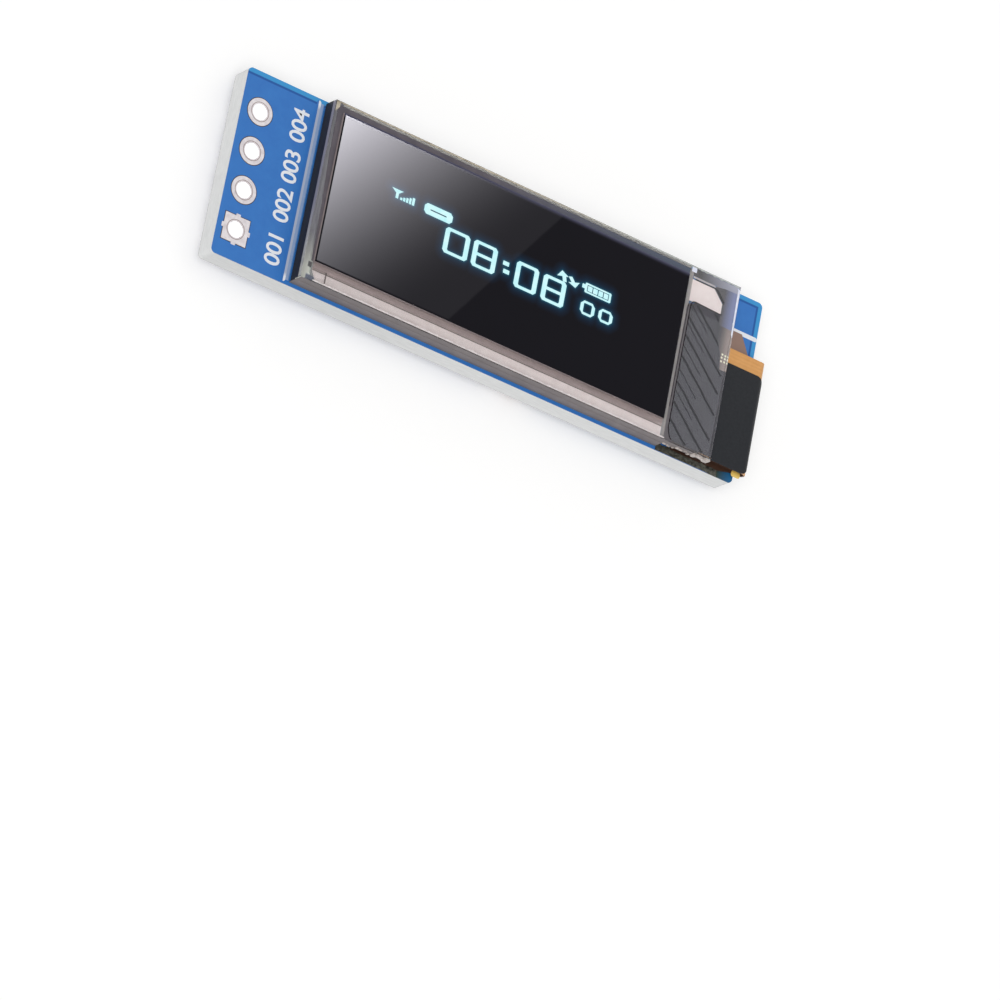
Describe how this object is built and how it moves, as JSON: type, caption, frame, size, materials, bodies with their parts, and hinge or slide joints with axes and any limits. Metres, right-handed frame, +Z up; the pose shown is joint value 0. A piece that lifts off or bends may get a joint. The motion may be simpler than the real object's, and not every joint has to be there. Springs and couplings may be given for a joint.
{
  "type": "small oled display module",
  "caption": "Small blue circuit board that carries a long narrow glass display, with a row of plated pin holes at one end, a folded flexible tail at the other and tiny chips on its back.",
  "frame": {"origin": "centre of the overall box in X and Y, at the lowest level, the tops of the chips on the back", "axes": "+X along the board from the pin holes to the flexible tail, +Y across the board away from the square pad, +Z up out of the screen"},
  "size_m": [0.0386, 0.012, 0.0041],
  "materials": {
    "core": "matt pale glass-fibre laminate, cut edge",
    "mask": "glossy blue lacquer over copper",
    "ink": "matt white print",
    "tin": "bright tinned metal",
    "solder": "shiny grey solder with soft lumps",
    "copper": "thin copper",
    "ceramic_olive": "matt olive brown ceramic",
    "ceramic_orange": "matt orange brown ceramic",
    "ceramic_tan": "matt tan ceramic",
    "resistor_coat": "black glaze on white ceramic",
    "moulding": "matt black moulded resin",
    "clear_glass": "polished clear glass",
    "smoked_glass": "clear glass with a dark back",
    "seal_resin": "cloudy cured resin",
    "getter": "matt white drying sheet",
    "pixel_film": "dark light-emitting film",
    "polarizer_film": "smooth near-black film",
    "contact_metal": "thin pale pinkish metal film",
    "polyimide": "amber polyimide over copper",
    "cover_film": "dark grey film with faint slanting hatch",
    "black_tape": "matt black tape",
    "foam_tape": "thin black double-sided foam tape",
    "silicon": "dark polished silicon"
  },
  "bodies": {
    "root": {"printed_board": "core", "solder_mask_front": "mask", "solder_mask_back": "mask", "legend_front": "ink", "legend_back": "ink", "pads_front": "copper", "pads_back": "tin", "plated_hole_1": "tin", "plated_hole_2": "tin", "plated_hole_3": "tin", "plated_hole_4": "tin", "capacitor_1_body": "ceramic_olive", "capacitor_1_ends": "tin", "capacitor_2_body": "ceramic_orange", "capacitor_2_ends": "tin", "capacitor_3_body": "ceramic_orange", "capacitor_3_ends": "tin", "capacitor_4_body": "ceramic_tan", "capacitor_4_ends": "tin", "capacitor_5_body": "ceramic_olive", "capacitor_5_ends": "tin", "capacitor_6_body": "ceramic_tan", "capacitor_6_ends": "tin", "capacitor_7_body": "ceramic_olive", "capacitor_7_ends": "tin", "capacitor_8_body": "ceramic_tan", "capacitor_8_ends": "tin", "resistor_1_body": "resistor_coat", "resistor_1_ends": "tin", "resistor_2_body": "resistor_coat", "resistor_2_ends": "tin", "resistor_3_body": "resistor_coat", "resistor_3_ends": "tin", "resistor_4_body": "resistor_coat", "resistor_4_ends": "tin", "diode_body": "moulding", "diode_leads": "tin", "regulator_body": "moulding", "regulator_leads": "tin", "chip_solder": "solder", "finger_solder": "solder", "panel_tape": "foam_tape", "cap_glass": "smoked_glass", "getter_sheet": "getter", "edge_seal": "seal_resin", "pixel_layer": "pixel_film", "front_glass": "clear_glass", "polarizer": "polarizer_film", "contact_strip": "contact_metal", "contact_patch": "contact_metal", "flex_tail": "polyimide", "ledge_film": "cover_film", "bend_tape": "black_tape", "driver_die": "silicon"}
  },
  "joints": []
}
